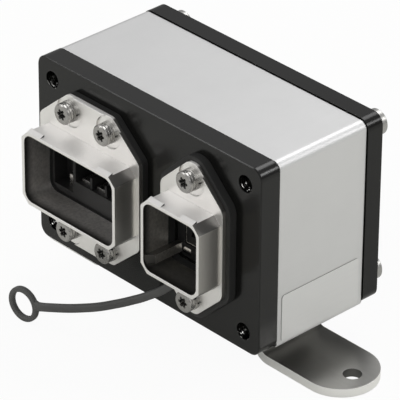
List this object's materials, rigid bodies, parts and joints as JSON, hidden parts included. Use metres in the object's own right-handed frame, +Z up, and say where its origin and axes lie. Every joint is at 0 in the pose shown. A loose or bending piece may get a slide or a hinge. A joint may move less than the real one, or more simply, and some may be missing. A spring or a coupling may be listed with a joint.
{
  "type": "two-port ethernet coupler",
  "caption": "Sealed aluminium coupler housing with a hooded power port, a hooded data port with a rubber cap strap, and a bent foot bracket for screwing it down.",
  "frame": {"origin": "on the underside of the bracket's feet, midway between the two fixing holes", "axes": "+X to the right seen from the front, +Y from the front to the back, +Z up"},
  "size_m": [0.1444, 0.0831, 0.0787],
  "materials": {
    "satin_aluminium": "fine satin, clear anodised",
    "black_cover": "fine-grained black coat",
    "black_rubber": "matt",
    "screw_steel": "bright rolled",
    "plated_casting": "satin nickel plate",
    "black_moulding": "moulded",
    "tinned_contact": "bright tin",
    "gilt_wire": "bright",
    "green_board": "lacquered",
    "bracket_steel": "cold-rolled stainless",
    "label_film": "silver film"
  },
  "bodies": {
    "root": {"housing_profile": "satin_aluminium", "front_cover": "black_cover", "rear_cover": "black_cover", "front_seal": "black_rubber", "rear_seal": "black_rubber", "housing_screws": "screw_steel", "power_gasket": "black_rubber", "power_flange": "plated_casting", "power_lock_washers": "screw_steel", "power_flange_screws": "screw_steel", "power_insert": "black_moulding", "power_contacts": "tinned_contact", "earth_contact": "tinned_contact", "data_pad": "black_rubber", "data_flange": "plated_casting", "data_lock_washers": "screw_steel", "data_flange_screws": "screw_steel", "data_insert": "black_moulding", "data_jack": "black_moulding", "jack_shield": "tinned_contact", "jack_contacts": "gilt_wire", "shield_springs": "tinned_contact", "circuit_board": "green_board", "mounting_bracket": "bracket_steel", "bracket_screws": "screw_steel", "side_label": "label_film", "cap_strap": "black_rubber", "cap_ring": "black_rubber"}
  },
  "joints": []
}
